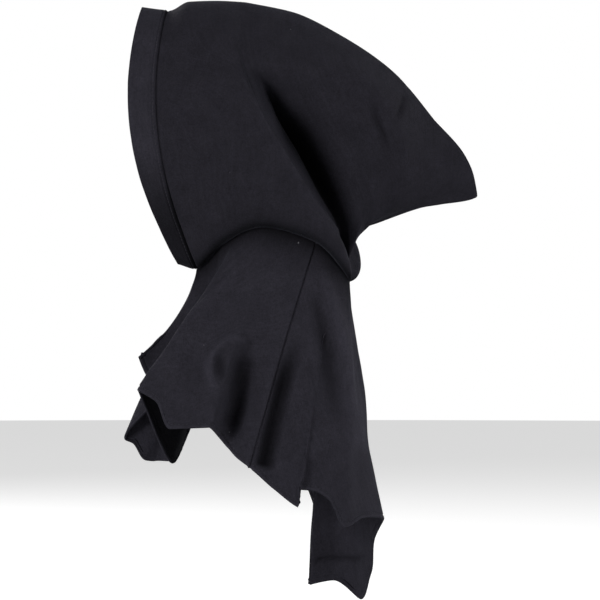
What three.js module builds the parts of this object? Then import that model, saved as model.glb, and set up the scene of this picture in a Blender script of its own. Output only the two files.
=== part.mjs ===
// A medieval hood of black wool cloth with a short back peak and a draped shoulder cape, in the shape it has
// on a head: two side panels sewn along the middle plane, a wide turned band round the face opening, and a
// cape of a front and a back panel sewn together on each shoulder. Millimetres, +Z up. The wearer faces -Y
// and has the left hand on the +X side. The origin is where the top of the head touches the crown inside.
import * as THREE from "three";

// Driving sizes
const HOOD_DEPTH = 401; // foremost point of the face edge to the tip of the peak
const HOOD_DROP = 312; // outside of the crown down to the throat
const HOOD_HALF_WIDTH = 95; // middle plane to the outside of the cloth over an ear
const SEAT_BACK = 110; // foremost point of the face edge to the top of the head
const NECK_DEPTH = 180; // throat to the folds at the nape
const NECK_HALF_WIDTH = 62; // middle plane to the crease under an ear
const NECK_RISE = 50; // height of the crease under an ear above the throat
const THROAT_BACK = 78; // foremost point of the face edge to the throat
const CAPE_REACH = 179; // middle of the neck to the foremost corner of the hem
const CAPE_DROP = 381; // throat down to the lowest corner of the hem
const CAPE_HALF_WIDTH = 120; // middle plane to the widest fold of the cape
const CLOTH = 2; // wall of one layer of cloth
const BAND_CLOTH = 3; // wall of the turned band round the face
const HEM_CLOTH = 3; // wall of the turned hem of the cape
const HEM_SHARE = 0.03; // height of that hem, as a share of each rib of the cape
const SEAM_GAP = 0.4; // space between two pieces that are sewn together
const NAPE_SHIFT = 8; // how much further back the right nape fold rolls than the left one

// The mesh
const PANEL_STEP = 17; // round a side panel
const PANEL_ROWS = 16; // up a side panel
const CAPE_STEP = 15; // round the cape's hem
const CAPE_ROWS = 12; // down the cape
const SLOPE_U = 0.4; // half the span over which a slope is taken, round a surface
const SLOPE_V = 0.004; // and along its ribs
const NEAR = 1; // two places round a surface this close count as one
const HALVINGS = 40;

// Where the girth of a rib of the hood is stated, from its foot to the crown
const ROLL_TOP = 0.12;
const GIRTH_STATIONS = [0, ROLL_TOP, 0.5, 0.78, 1];
const CROWN_START = 0.5;

// The ribs of a side panel run from the neck up to the middle seam. Feet, and roll, the step back over the
// crease, are shares of the neck's sizes, tops and bends of the hood's depth and drop, and girths of its half
// width. round is 1 over the head and 0 in the flat peak.
const RIB_COLUMNS = ["footBack", "footRise", "footSide", "topBack", "topDrop",
  "bendLow", "bendHigh", "low", "middle", "high", "round", "roll"];
const RIBS = table(RIB_COLUMNS, {
  face_edge: [-0.12, 0.16, 0.08, 0.040, 0.022, 0.099, 0.108, 0.32, 0.77, 0.80, 1, 0],
  band_seam: [0.00, 0.07, 0.15, 0.112, 0.037, 0.077, 0.086, 0.42, 0.88, 0.90, 1, 0],
  jaw: [0.19, 0.67, 0.80, 0.175, 0.003, 0.050, 0.060, 0.80, 0.97, 0.97, 1, 0],
  ear: [0.43, 1.00, 0.97, 0.250, 0.000, 0.010, 0.050, 0.90, 1.00, 1.00, 1, 0],
  nape_side: [0.77, 0.64, 0.97, 0.300, 0.002, -0.060, 0.100, 0.86, 0.99, 1.00, 1, 0],
  nape_fold: [0.99, -0.22, 0.47, 0.332, 0.005, -0.125, 0.125, 0.46, 0.93, 0.98, 1, 0.01],
  nape_tuck: [0.965, -0.28, 0.20, 0.350, 0.008, -0.080, 0.125, 0.24, 0.54, 0.92, 1, 0.01],
  nape_valley: [0.95, -0.16, 0.00, 0.392, 0.016, -0.060, 0.100, 0.03, 0.26, 0.84, 1, 0],
  peak_shoulder: [0.955, 0.09, 0.00, 0.475, 0.041, -0.010, 0.040, 0.06, 0.40, 0.85, 0.9, 0],
  peak_upper: [0.96, 0.26, 0.00, 0.620, 0.134, 0.000, 0.010, 0.09, 0.48, 0.74, 0.6, 0],
  peak_back: [0.97, 0.37, 0.00, 0.762, 0.263, 0.000, 0.000, 0.09, 0.44, 0.52, 0.3, 0],
  peak_lower: [0.975, 0.47, 0.00, 0.872, 0.430, 0.000, 0.000, 0.08, 0.35, 0.34, 0.1, 0],
  peak_end: [0.98, 0.56, 0.00, 0.967, 0.575, 0.020, 0.020, 0.07, 0.25, 0.20, 0, 0],
  peak_tip: [0.985, 0.60, 0.00, 1.000, 0.722, 0.060, 0.060, 0.05, 0.12, 0.08, 0, 0],
  peak_under: [0.99, 0.64, 0.00, 0.848, 0.764, 0.040, 0.040, 0.03, 0.05, 0.05, 0, 0],
  peak_root: [0.995, 0.67, 0.00, 0.670, 0.841, 0.000, 0.000, 0.00, 0.00, 0.00, 0, 0],
});
const ROLL_FADE = 0.3; // share of a rib above the roll over which its step back fades

// The ribs of the cape run from the neck down to the hem, round from the middle of the throat by the wearer's
// left to the nape, which is neck 1, and on by the right. Hem points are shares of the cape's sizes, swell is
// how far a rib's middle stands out, and dent how far its lower half falls in, as shares of the cape's reach.
const FOLD_COLUMNS = ["neck", "hemBack", "hemDrop", "hemSide", "swell", "dent"];
const FOLDS = table(FOLD_COLUMNS, {
  front_corner: [0, -0.879, 0.259, -0.07, -0.11, 0.00],
  front_left_edge: [0.07, -0.831, 0.315, 0.12, -0.11, 0.00],
  front_left_dip: [0.15, -0.706, 0.367, 0.30, -0.13, 0.00],
  front_left_ridge: [0.33, -0.862, 0.352, 0.84, -0.02, 0.00],
  left_lobe_top: [0.375, -0.738, 0.385, 0.98, 0.02, 0.00],
  left_lobe: [0.42, -0.650, 0.464, 1.00, 0.05, 0.00],
  left_lobe_end: [0.48, -0.404, 0.461, 0.98, 0.08, 0.00],
  left_valley: [0.55, -0.355, 0.515, 0.88, 0.10, 0.14],
  left_seam: [0.65, -0.160, 0.570, 0.92, 0.05, 0.02],
  left_back_valley: [0.7, -0.010, 0.632, 0.92, 0.04, 0.11],
  left_point: [0.75, 0.148, 0.695, 0.95, 0.03, 0.00],
  left_notch: [0.78, 0.165, 0.645, 0.82, 0.05, 0.04],
  left_notch_end: [0.8, 0.243, 0.648, 0.76, 0.05, 0.04],
  back_left_slope: [0.82, 0.350, 0.676, 0.80, 0.04, 0.03],
  back_left_corner: [0.86, 0.444, 0.757, 0.84, 0.02, 0.00],
  back_left_turn: [0.90, 0.577, 0.732, 0.58, -0.02, 0.00],
  back_ridge: [0.95, 0.700, 0.745, 0.25, -0.05, 0.00],
  back_inner: [1, 0.615, 0.830, 0.07, -0.10, 0.02],
  tail_side: [1.05, 0.624, 0.918, -0.15, -0.08, 0.00],
  tail_point: [1.1, 0.564, 1.000, -0.37, -0.04, 0.00],
  tail_middle: [1.15, 0.380, 0.942, -0.53, -0.02, 0.00],
  tail_front: [1.2, 0.215, 0.944, -0.52, -0.10, 0.00],
  tail_outer: [1.26, 0.310, 0.839, -0.80, 0.00, 0.00],
  right_point: [1.33, 0.154, 0.645, -0.97, 0.03, 0.00],
  right_seam: [1.4, -0.109, 0.543, -0.88, 0.05, 0.04],
  right_lobe: [1.48, -0.365, 0.440, -0.98, 0.05, 0.00],
  right_valley: [1.56, -0.577, 0.474, -0.92, 0.05, 0.06],
  right_flap: [1.62, -0.625, 0.543, -0.93, 0.03, 0.03],
  right_flap_point: [1.66, -0.690, 0.585, -0.74, 0.03, 0.00],
  right_flap_front: [1.71, -0.845, 0.584, -0.93, 0.02, 0.00],
  front_right_ridge: [1.78, -1.000, 0.509, -0.80, 0.09, 0.00],
  front_right_dip: [1.9, -0.759, 0.362, -0.37, -0.10, 0.00],
});
const DENT_START = 0.42; // share of a rib of the cape above which no dent shows
const DENT_FULL = 0.72; // share of it where each dent has its whole depth

// Rows of numbers as objects with named columns
function table(columns, rows) {
  return Object.entries(rows).map(([name, numbers]) =>
    ({ name, ...Object.fromEntries(columns.map((column, i) => [column, numbers[i]])) }));
}

const DOWN = new THREE.Vector3(0, 0, -1);
const CROWN_Z = CLOTH;
const THROAT_Z = CROWN_Z - HOOD_DROP;
const THROAT_Y = THROAT_BACK - SEAT_BACK;
const NECK_MIDDLE_Y = THROAT_Y + NECK_DEPTH / 2;

// A smooth curve through values at rising knots, which never swings past them
function smoothCurve(knots, values) {
  const last = knots.length - 1;
  const widths = knots.slice(1).map((knot, i) => knot - knots[i]);
  const slopes = widths.map((width, i) => (values[i + 1] - values[i]) / width);
  const tangents = knots.map((_, i) => {
    if (i === 0) return slopes[0];
    if (i === last) return slopes[last - 1];
    if (slopes[i - 1] * slopes[i] <= 0) return 0;
    const before = 2 * widths[i] + widths[i - 1];
    const after = widths[i] + 2 * widths[i - 1];
    return (before + after) / (before / slopes[i - 1] + after / slopes[i]);
  });
  return (at) => {
    let i = 0;
    while (i < last - 1 && at > knots[i + 1]) i += 1;
    const w = widths[i];
    const t = (at - knots[i]) / w;
    return values[i] * (1 + 2 * t) * (1 - t) ** 2 + tangents[i] * w * t * (1 - t) ** 2
      + values[i + 1] * t * t * (3 - 2 * t) + tangents[i + 1] * w * t * t * (t - 1);
  };
}

// The same, for every named column of some rows
function smoothRows(knots, rows, columns) {
  const curves = columns.map((column) => smoothCurve(knots, rows.map((row) => row[column])));
  return (at) => Object.fromEntries(columns.map((column, i) => [column, curves[i](at)]));
}

// Running distance along some rows, measured by a function of two neighbours
function runningKnots(rows, distance) {
  const knots = [0];
  rows.slice(1).forEach((row, i) => knots.push(knots[i] + distance(rows[i], row)));
  return knots;
}

// The right side's nape fold rolls further back than the left side's
function ribsOfSide(shift) {
  const shares = { nape_fold: shift / NECK_DEPTH, nape_tuck: shift / NECK_DEPTH / 2 };
  return RIBS.map((rib) => ({ ...rib, roll: rib.roll + (shares[rib.name] ?? 0) }));
}

function footOf(rib) {
  return new THREE.Vector3(
    rib.footSide * NECK_HALF_WIDTH,
    THROAT_Y + rib.footBack * NECK_DEPTH,
    THROAT_Z + rib.footRise * NECK_RISE,
  );
}

// A point of a rib, from its foot at v 0 to the middle seam at v 1
function pointOnRib(rib, v) {
  const foot = footOf(rib);
  const topY = rib.topBack * HOOD_DEPTH - SEAT_BACK;
  const topZ = CROWN_Z - rib.topDrop * HOOD_DROP;
  const run = topY - foot.y;
  const rise = topZ - foot.z;
  const length = Math.hypot(run, rise);
  const bend = (3 * v * (1 - v) ** 2 * rib.bendLow + 3 * v * v * (1 - v) * rib.bendHigh) * HOOD_DEPTH;
  const step = rib.roll * NECK_DEPTH * rolled(v) * (1 - smoothStep((v - ROLL_TOP) / ROLL_FADE));
  const y = foot.y + run * v - (bend * rise) / length + step;
  const z = foot.z + rise * v + (bend * run) / length;
  return new THREE.Vector3(sideOfRib(rib, v, foot.x), y, z);
}

const smoothStep = (x) => {
  const t = Math.min(1, Math.max(0, x));
  return t * t * (3 - 2 * t);
};

// The quarter round in which the cloth rolls out over the crease, 0 at a rib's foot and 1 from the roll's top
const rolled = (v) => (v < ROLL_TOP ? Math.sqrt(1 - (1 - v / ROLL_TOP) ** 2) : 1);

// How far from the middle plane a rib stands: it rolls out over the crease, follows the head and ends on the
// middle seam
function sideOfRib(rib, v, footX) {
  const low = rib.low * HOOD_HALF_WIDTH;
  if (v < ROLL_TOP) return footX + (low - footX) * rolled(v);
  const middle = rib.middle * HOOD_HALF_WIDTH;
  const high = rib.high * HOOD_HALF_WIDTH;
  const girths = [footX, low, middle, high, high];
  const girth = smoothCurve(GIRTH_STATIONS, girths)(v);
  const climb = Math.max(0, (v - CROWN_START) / (1 - CROWN_START));
  return girth * Math.max(0, 1 - climb * climb) ** (1 - rib.round / 2);
}

// A side panel's outer surface on the +X side, with the knots of its ribs and the stations of its mesh
function sidePanel(shift) {
  const ribs = ribsOfSide(shift);
  const knots = runningKnots(ribs, (a, b) =>
    (footOf(a).distanceTo(footOf(b)) + pointOnRib(a, 0.5).distanceTo(pointOnRib(b, 0.5))
      + pointOnRib(a, 1).distanceTo(pointOnRib(b, 1))) / 3);
  const ribAt = smoothRows(knots, ribs, RIB_COLUMNS);
  const knotOf = (name) => knots[ribs.findIndex((rib) => rib.name === name)];
  const seam = knotOf("band_seam");
  const inside = (from, to) => knots.filter((knot) => knot > from && knot < to);
  const steps = (from, to) => subdivided([from, ...inside(from, to), to], PANEL_STEP, 2);
  const bandStations = steps(knots[0], seam - SEAM_GAP / 2);
  const bodyStations = steps(seam + SEAM_GAP / 2, knots[knots.length - 1]);
  return { at: (u, v) => pointOnRib(ribAt(u), v), bandStations, bodyStations, nape: knotOf("nape_valley") };
}

// Half of the neck's ring on the +X side: its corners, which are the feet of the panel's mesh, with the share
// of the way round at each, from the middle of the throat at 0 to the nape at 1
function halfNeck(panel) {
  const feet = panel.bodyStations.filter((u) => u <= panel.nape + NEAR).map((u) => panel.at(u, 0));
  const points = [feet[0].clone().setX(0), ...feet];
  const lengths = runningKnots(points, (a, b) => a.distanceTo(b));
  const shares = lengths.map((length) => length / lengths[lengths.length - 1]);
  return { points, shares };
}

// The whole ring of the neck by its share, 0 to 2, straight between its corners
function wholeNeck(left, right) {
  const shares = [...left.shares, ...right.shares.slice(0, -1).map((share) => 2 - share).reverse()];
  const mirroredPoints = right.points.slice(0, -1).map((point) => point.clone().setX(-point.x)).reverse();
  const points = [...left.points, ...mirroredPoints];
  const at = (share) => {
    let i = 0;
    while (i < shares.length - 2 && share > shares[i + 1]) i += 1;
    return points[i].clone().lerp(points[i + 1], (share - shares[i]) / (shares[i + 1] - shares[i]));
  };
  return { shares, at };
}

// The cape's outer surface, round by t from 0 to its length, and down from the neck at v 0 to the hem at v 1
function capeSurface(neck) {
  const hemOf = (fold) => new THREE.Vector3(
    fold.hemSide * CAPE_HALF_WIDTH,
    NECK_MIDDLE_Y + fold.hemBack * CAPE_REACH,
    THROAT_Z - fold.hemDrop * CAPE_DROP,
  );
  const before = FOLDS.slice(-2).map((fold) => ({ ...fold, neck: fold.neck - 2 }));
  const after = FOLDS.slice(0, 3).map((fold) => ({ ...fold, neck: fold.neck + 2 }));
  const rows = [...before, ...FOLDS, ...after];
  const run = runningKnots(rows, (a, b) => hemOf(a).distanceTo(hemOf(b)));
  const knots = run.map((knot) => knot - run[before.length]);
  const length = knots[before.length + FOLDS.length];
  const foldAt = smoothRows(knots, rows, FOLD_COLUMNS);
  const at = (t, v) => {
    const fold = foldAt((t + length) % length);
    const top = neck.at((fold.neck + 2) % 2);
    const hem = hemOf(fold);
    const out = new THREE.Vector3(hem.x, hem.y - NECK_MIDDLE_Y, 0).normalize();
    const dent = fold.dent * smoothStep((v - DENT_START) / (DENT_FULL - DENT_START));
    const middle = top.clone().add(hem).multiplyScalar(0.5).addScaledVector(out, fold.swell * CAPE_REACH);
    return top.multiplyScalar((1 - v) ** 2).addScaledVector(middle, 2 * v * (1 - v))
      .addScaledVector(hem, v * v).addScaledVector(out, -dent * CAPE_REACH);
  };
  const knotOf = (name) => knots[before.length + FOLDS.findIndex((fold) => fold.name === name)];
  const folds = FOLDS.map((fold) => knotOf(fold.name));
  const corners = neck.shares.filter((share) => share > 0 && share < 2)
    .map((share) => placeOf((t) => foldAt(t).neck, share, 0, length));
  return { at, knotOf, folds, corners, length };
}

// Where a rising function reaches a value, between two bounds
function placeOf(rising, value, low, high) {
  for (let i = 0; i < HALVINGS; i += 1) {
    const middle = (low + high) / 2;
    if (rising(middle) < value) low = middle;
    else high = middle;
  }
  return (low + high) / 2;
}

// The outward normal of a surface at (u, v), from its slopes
function normalAt(surface, u, v) {
  const along = surface.at(u + SLOPE_U, v).sub(surface.at(u - SLOPE_U, v));
  const up = surface.at(u, Math.min(1, v + SLOPE_V)).sub(surface.at(u, Math.max(0, v - SLOPE_V)));
  return along.cross(up).normalize();
}

// Rising stops with even steps between them, at least so many from each to the next
function subdivided(stops, step, least) {
  const values = [stops[0]];
  stops.slice(1).forEach((stop, i) => {
    const count = Math.max(least, Math.round((stop - stops[i]) / step));
    for (let k = 1; k <= count; k += 1) values.push(stops[i] + ((stop - stops[i]) * k) / count);
  });
  return values;
}

// A closed wall between an outer and an inner grid of points, both listed [u][v]
function wallGeometry(outer, inner) {
  const nu = outer.length;
  const nv = outer[0].length;
  const positions = [];
  [outer, inner].flat(2).forEach((point) => positions.push(point.x, point.y, point.z));
  const index = [];
  const id = (layer, i, j) => layer * nu * nv + i * nv + j;
  const quad = (a, b, c, d) => index.push(a, b, c, a, c, d);
  for (let i = 0; i < nu - 1; i += 1) {
    for (let j = 0; j < nv - 1; j += 1) {
      quad(id(0, i, j), id(0, i + 1, j), id(0, i + 1, j + 1), id(0, i, j + 1));
      quad(id(1, i, j), id(1, i, j + 1), id(1, i + 1, j + 1), id(1, i + 1, j));
    }
    quad(id(0, i, 0), id(1, i, 0), id(1, i + 1, 0), id(0, i + 1, 0));
    quad(id(0, i, nv - 1), id(0, i + 1, nv - 1), id(1, i + 1, nv - 1), id(1, i, nv - 1));
  }
  for (let j = 0; j < nv - 1; j += 1) {
    quad(id(0, 0, j), id(0, 0, j + 1), id(1, 0, j + 1), id(1, 0, j));
    quad(id(0, nu - 1, j), id(1, nu - 1, j), id(1, nu - 1, j + 1), id(0, nu - 1, j + 1));
  }
  const geometry = new THREE.BufferGeometry();
  geometry.setAttribute("position", new THREE.Float32BufferAttribute(positions, 3));
  geometry.setIndex(index);
  return geometry;
}

// One of the two grids of a wall whose places are listed as pairs of points
const layerOf = (wall, layer) => wall.map((line) => line.map((pair) => pair[layer]));

// Turns a geometry's faces round, for a copy mirrored in the middle plane
function mirrored(geometry) {
  geometry.scale(-1, 1, 1);
  const index = geometry.index.array;
  for (let i = 0; i < index.length; i += 3) [index[i + 1], index[i + 2]] = [index[i + 2], index[i + 1]];
  return geometry;
}

// A piece of a side panel, as a wall that keeps to its own side of the middle plane
function panelPiece(panel, stations, cloth) {
  const rowOf = (_, j) => 0.5 - 0.5 * Math.cos((Math.PI * j) / PANEL_ROWS);
  const vs = Array.from({ length: PANEL_ROWS + 1 }, rowOf);
  const wall = stations.map((u) => vs.map((v) => {
    const point = panel.at(u, v);
    const normal = normalAt(panel, u, v);
    point.x = Math.max(point.x, SEAM_GAP / 2 + cloth * Math.max(0, normal.x));
    if (v === 0) point.z += SEAM_GAP / 2;
    const onNeck = v === 0 && u < panel.nape;
    const back = point.clone().addScaledVector(onNeck ? DOWN : normal, -cloth);
    back.x = Math.max(back.x, SEAM_GAP / 2);
    return [point, back];
  }));
  return wallGeometry(layerOf(wall, 0), layerOf(wall, 1));
}

// A panel of the cape between two places round it, as a wall with a thicker hem
function capePiece(cape, from, to) {
  const within = (place) => [place - cape.length, place].find((t) => t > from + NEAR && t < to - NEAR);
  const placed = (places) => places.map(within).filter((t) => t !== undefined);
  const stops = [from + SEAM_GAP / 2, ...placed(cape.corners), to - SEAM_GAP / 2];
  const folds = placed(cape.folds).filter((t) => stops.every((stop) => Math.abs(stop - t) > CAPE_STEP / 4));
  const rising = [...stops, ...folds].sort((a, b) => a - b);
  const vs = Array.from({ length: CAPE_ROWS }, (_, j) => (j / (CAPE_ROWS - 1)) * (1 - HEM_SHARE));
  const wall = subdivided(rising, CAPE_STEP, 1).map((t) => [...vs, 1].map((v) => {
    const point = cape.at(t, v);
    const back = point.clone().addScaledVector(normalAt(cape, t, v), v === 1 ? HEM_CLOTH : CLOTH);
    if (v === 0) {
      point.z -= SEAM_GAP / 2;
      back.z = Math.min(back.z, point.z);
    }
    return [point, back];
  }));
  return wallGeometry(layerOf(wall, 1), layerOf(wall, 0));
}

const wool = (color) => new THREE.MeshStandardMaterial({ color, roughness: 0.95, metalness: 0 });

const hood = new THREE.Group();
hood.name = "wool_hood";

function add(name, geometry, material) {
  geometry.computeVertexNormals();
  const mesh = new THREE.Mesh(geometry, material);
  mesh.name = name;
  hood.add(mesh);
}

const leftPanel = sidePanel(0);
const rightPanel = sidePanel(NAPE_SHIFT);
const sides = [["left", leftPanel, (geometry) => geometry], ["right", rightPanel, mirrored]];
sides.forEach(([side, panel, place]) => {
  add(`face_band_${side}`, place(panelPiece(panel, panel.bandStations, BAND_CLOTH)), wool(0x24242c));
  add(`hood_${side}`, place(panelPiece(panel, panel.bodyStations, CLOTH)), wool(0x1e1e25));
});

const cape = capeSurface(wholeNeck(halfNeck(leftPanel), halfNeck(rightPanel)));
const leftSeam = cape.knotOf("left_seam");
const rightSeam = cape.knotOf("right_seam");
add("cape_front", capePiece(cape, rightSeam - cape.length, leftSeam), wool(0x1f1f27));
add("cape_back", capePiece(cape, leftSeam, rightSeam), wool(0x1f1f27));

export default hood;
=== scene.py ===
# A medieval hood of black fulled wool with a short back peak and a draped shoulder cape, in the shape it has
# on a head. The cloth is built in metres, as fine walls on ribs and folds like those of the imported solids,
# fitted closer to the photograph. Strokes press the creases into it and raise the ridges on it. The wearer
# faces -Y, with the left hand on the +X side.
import itertools
import math
from collections import namedtuple

import bpy
import numpy as np
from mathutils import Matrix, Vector


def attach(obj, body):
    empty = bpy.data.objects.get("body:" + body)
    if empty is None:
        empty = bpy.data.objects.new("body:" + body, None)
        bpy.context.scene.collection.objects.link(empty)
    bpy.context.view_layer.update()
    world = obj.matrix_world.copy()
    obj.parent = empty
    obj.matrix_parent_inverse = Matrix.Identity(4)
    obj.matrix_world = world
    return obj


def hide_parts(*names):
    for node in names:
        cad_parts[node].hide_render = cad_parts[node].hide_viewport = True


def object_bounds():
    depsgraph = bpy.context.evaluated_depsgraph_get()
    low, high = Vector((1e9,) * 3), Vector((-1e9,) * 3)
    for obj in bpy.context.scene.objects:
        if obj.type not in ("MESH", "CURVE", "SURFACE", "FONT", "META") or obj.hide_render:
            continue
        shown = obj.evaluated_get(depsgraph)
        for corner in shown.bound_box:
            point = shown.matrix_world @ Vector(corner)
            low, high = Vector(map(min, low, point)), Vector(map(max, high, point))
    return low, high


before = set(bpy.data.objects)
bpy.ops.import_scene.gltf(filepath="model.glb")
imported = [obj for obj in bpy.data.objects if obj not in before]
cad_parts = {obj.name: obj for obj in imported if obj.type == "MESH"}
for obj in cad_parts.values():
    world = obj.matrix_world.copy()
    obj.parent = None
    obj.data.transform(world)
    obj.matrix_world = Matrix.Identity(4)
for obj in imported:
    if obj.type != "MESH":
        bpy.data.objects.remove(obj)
cad_low, cad_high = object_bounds()

# Sizes of the hood and the cape
HOOD_DEPTH = 0.401  # from the front of the face opening to the tip of the peak
HOOD_DROP = 0.312  # from the crown down to the throat
HOOD_HALF_WIDTH = 0.095
SEAT_BACK = 0.110  # from the front of the face opening back to the place where the head carries the hood
NECK_DEPTH = 0.180  # from the throat to the nape
NECK_HALF_WIDTH = 0.062
NECK_RISE = 0.050  # how much higher the crease lies below the ear than at the throat
THROAT_BACK = 0.078  # from the front of the face opening back to the throat
CAPE_REACH = 0.179  # from the middle of the neck forward to the cape's front point
CAPE_DROP = 0.381  # from the throat down to the cape's lowest point
CAPE_HALF_WIDTH = 0.120
NAPE_SHIFT = 0.018  # how much further back the right nape fold rolls than the left one
MIRROR = (-1, 1, 1)

# Thicknesses of the cloth, and how far pieces stay apart or lap at their seams
CLOTH = 0.002
BAND_CLOTH = 0.003
HEM_CLOTH = 0.003
HEM_TURN = 0.006
SEAM_GAP = 0.00002
SEAM_LAP = 0.0008
MIDDLE_LAP = 0.0003

CROWN_Z = CLOTH
THROAT_Z = CROWN_Z - HOOD_DROP
THROAT_Y = THROAT_BACK - SEAT_BACK
NECK_MIDDLE_Y = THROAT_Y + NECK_DEPTH / 2

# The girth of a rib of the hood is stated at these shares of it, from its foot to the crown
ROLL_TOP = 0.15
ROLL_FADE = 0.14
CROWN_START = 0.5
GIRTH_STATIONS = [0, ROLL_TOP, CROWN_START, 0.66, 0.8, 1]

# The groove along a seam: how deep the cloth is pulled in there and how wide on each side, and how far the
# band stands proud beside it
SEAM_SINK = 0.0016
SEAM_WIDTH = 0.0035
BAND_PROUD = 0.0012

# Soft unevenness of the cloth: heights and the sizes of its bumps, and the calm stretch beside a seam
UNEVEN = [(0.0009, 0.048), (0.0004, 0.019)]
CALM_REACH = 0.03

# Painted light in the wool's colour: 0 leaves the wool's own tone, 1 is deep painted shade and below 0 is
# painted highlight. Painted shade lies in the crease over the neck, above it and below it, in the strokes'
# hollows, at the foot of the band and over the hood; painted highlight on ridges, at the hem and on the band.
# The seams are pressed darker, which is the cloth's own tone.
CREASE_SHADE = 1.25
CREASE_ABOVE = 0.014
CREASE_BELOW = 0.056
STROKE_SHADE_DEPTH = 0.008
STROKE_HIGHLIGHT_MOST = 0.6
HOOD_SHADE = 0.32
SEAM_NAP = 0.7
HEM_HIGHLIGHT = 0.7
HEM_HIGHLIGHT_REACH = 0.005
BAND_UNDER_SHADE = 1.05
BAND_UNDER_TOP = 0.14
BAND_UNDER_FADE = 0.09
BAND_HIGHLIGHT = 0.12

# Painted shade inside the front pleat: how dark, the fades at its sides, down it and over the hem
POCKET_SHADE = 1.2
POCKET_SIDE = 0.01
POCKET_START = 0.4
POCKET_FADE = 0.2
POCKET_HEM = 0.004

# Painted shade lies in the fold behind the ear too, where the cloth lies further in than a share of its lip's
# distance from the middle plane, up to a share of the ribs
FOLD_MOUTH = 0.5
FOLD_DEEP = 0.4
FOLD_TOP = 0.8
FOLD_TOP_FADE = 0.1

# Stitches along the hem and the band, and the line that they pull in. They lie on one row of the mesh's fine
# edge. The rings of a stitch are shares of half its length and of its radius.
STITCH_PITCH = 0.0042
STITCH_LENGTH = 0.0027
STITCH_RADIUS = 0.00035
STITCH_LIFT = 0.4
STITCH_ROW = 5
STITCH_START = 3
STITCH_SINK = 0.0010
STITCH_SPREAD = 0.0018
STITCH_SIDES = 6
STITCH_RINGS = [(-0.8, 0.6), (0, 1), (0.8, 0.6)]

# The fine mesh: its steps and rows, its finer steps beside an edge, and the steps in which lines are measured
PANEL_STEP = 0.0022
PANEL_ROWS = 130
CAPE_STEP = 0.0026
CAPE_ROWS = 84
EDGE_ROWS = 14
EDGE_STEP = 0.0008
RIM_STEPS = 5
NECK_STEPS = 120
MEASURE_STEPS = 24
STROKE_STEPS = 40
SHORTEST = 1e-12

# The ribs of a side panel run from the neck up to the middle seam, with lengths as shares of the sizes
RIB_COLUMNS = ["foot_back", "foot_rise", "foot_side", "top_back", "top_drop", "bend_low", "bend_high",
               "low", "middle", "upper", "high", "round", "roll"]
RIBS = {
    "face_edge": [-0.12, 0.16, 0.08, 0.040, 0.022, 0.099, 0.108, 0.28, 0.70, 0.72, 0.72, 1, 0],
    "band_seam": [0.00, 0.07, 0.15, 0.112, 0.037, 0.077, 0.086, 0.44, 0.91, 0.93, 0.93, 1, 0],
    "jaw": [0.19, 0.67, 0.72, 0.175, 0.003, 0.050, 0.060, 0.80, 0.97, 0.98, 0.98, 1, 0],
    "ear": [0.43, 1.00, 0.86, 0.250, 0.000, 0.010, 0.050, 0.90, 1.00, 1.00, 1.00, 1, 0],
    "nape_side": [0.77, 0.64, 0.86, 0.300, 0.002, -0.034, 0.112, 0.86, 0.99, 1.00, 1.00, 1, 0],
    "nape_fold": [0.975, -0.22, 0.47, 0.336, 0.005, -0.034, 0.178, 0.52, 0.93, 0.98, 0.99, 1, 0.04],
    "nape_tuck": [0.96, -0.25, 0.26, 0.345, 0.007, -0.042, 0.164, 0.36, 0.50, 0.76, 0.98, 1, 0.02],
    "nape_valley": [0.95, -0.16, 0.00, 0.366, 0.012, -0.094, 0.162, 0.17, 0.03, 0.30, 0.95, 1, 0],
    "nape_rise": [0.95, -0.04, 0.00, 0.415, 0.024, -0.152, 0.142, 0.27, 0.26, 0.56, 0.91, 1, 0],
    "peak_shoulder": [0.958, 0.24, 0.00, 0.475, 0.042, -0.212, 0.104, 0.30, 0.48, 0.66, 0.86, 0.9, 0],
    "peak_upper": [0.975, 0.54, 0.00, 0.620, 0.134, -0.190, -0.010, 0.22, 0.50, 0.62, 0.73, 0.6, 0],
    "peak_back": [0.998, 0.72, 0.00, 0.762, 0.263, -0.136, -0.068, 0.20, 0.46, 0.50, 0.52, 0.3, 0],
    "peak_lower": [1.017, 0.85, 0.00, 0.872, 0.430, -0.064, -0.064, 0.17, 0.36, 0.36, 0.34, 0.1, 0],
    "peak_end": [1.030, 0.915, 0.00, 0.967, 0.575, -0.010, -0.030, 0.12, 0.25, 0.23, 0.20, 0, 0],
    "peak_turn": [1.038, 0.95, 0.00, 0.990, 0.645, 0.006, -0.004, 0.10, 0.19, 0.17, 0.14, 0, 0],
    "peak_tip": [1.045, 0.973, 0.00, 1.000, 0.722, 0.024, 0.022, 0.07, 0.12, 0.10, 0.08, 0, 0],
    "peak_under": [1.053, 0.989, 0.00, 0.848, 0.764, 0.014, 0.012, 0.04, 0.05, 0.05, 0.05, 0, 0],
    "peak_root": [1.062, 1.00, 0.00, 0.720, 0.820, 0.000, 0.000, 0.00, 0.00, 0.00, 0.00, 0, 0],
}

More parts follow.
